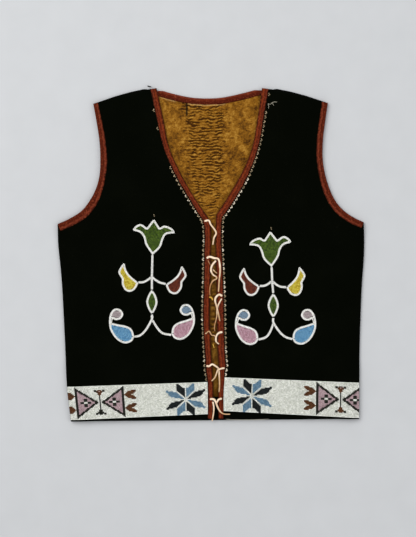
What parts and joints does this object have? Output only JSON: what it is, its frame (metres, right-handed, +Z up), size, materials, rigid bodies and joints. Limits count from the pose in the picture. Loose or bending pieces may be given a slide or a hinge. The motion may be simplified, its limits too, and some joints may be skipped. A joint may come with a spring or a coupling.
{
  "type": "beaded vest",
  "caption": "Open-front sleeveless wool vest laid flat, with bead bands at the hem, beaded flower sprays, bound edges, a cotton lining and thong ties.",
  "frame": {"origin": "centre of the vest's outline, on the surface that it lies on", "axes": "+Z up, away from the surface; +Y from the hem to the shoulders; +X towards the wearer's left side"},
  "size_m": [0.4849, 0.5286, 0.0142],
  "materials": {
    "cloth": "black fulled wool with a short nap",
    "lining": "mustard-brown cotton with a slight sheen",
    "binding": "rust-red woven tape",
    "band_beads": "opaque white seed beads worked in rows, with a dark, blue, pink and brown pattern",
    "white_beads": "opaque white seed beads",
    "green_beads": "dark green seed beads inside a white outline",
    "yellow_beads": "yellow seed beads inside a white outline",
    "maroon_beads": "maroon seed beads inside a white outline",
    "blue_beads": "light blue seed beads inside a white outline",
    "pink_beads": "dusty pink seed beads inside a white outline",
    "thong": "cream hide thong"
  },
  "bodies": {
    "root": {"back": "cloth", "back_hem_turn_up": "cloth", "right_front": "cloth", "left_front": "cloth", "lining_gathered_strip": "lining", "right_lining": "lining", "left_lining": "lining", "right_front_binding": "binding", "left_front_binding": "binding", "right_armhole_binding": "binding", "left_armhole_binding": "binding", "right_back_armhole_binding": "binding", "left_back_armhole_binding": "binding", "back_neck_binding": "binding", "back_bead_band": "band_beads", "right_bead_band": "band_beads", "left_bead_band": "band_beads", "right_tulip": "green_beads", "right_leaf": "green_beads", "right_outer_bud": "yellow_beads", "right_inner_bud": "maroon_beads", "right_outer_paisley": "blue_beads", "right_inner_paisley": "pink_beads", "right_upper_stem": "white_beads", "right_lower_stem": "white_beads", "left_tulip": "green_beads", "left_leaf": "green_beads", "left_outer_bud": "yellow_beads", "left_inner_bud": "maroon_beads", "left_outer_paisley": "blue_beads", "left_inner_paisley": "pink_beads", "left_upper_stem": "white_beads", "left_lower_stem": "white_beads", "tie_1": "thong", "tie_2_long": "thong", "tie_2_loop": "thong", "tie_3_long": "thong", "tie_3_short": "thong", "tie_4": "thong", "tie_5_long": "thong", "tie_5_short": "thong", "tie_6_right": "thong", "tie_6_left": "thong"}
  },
  "joints": []
}
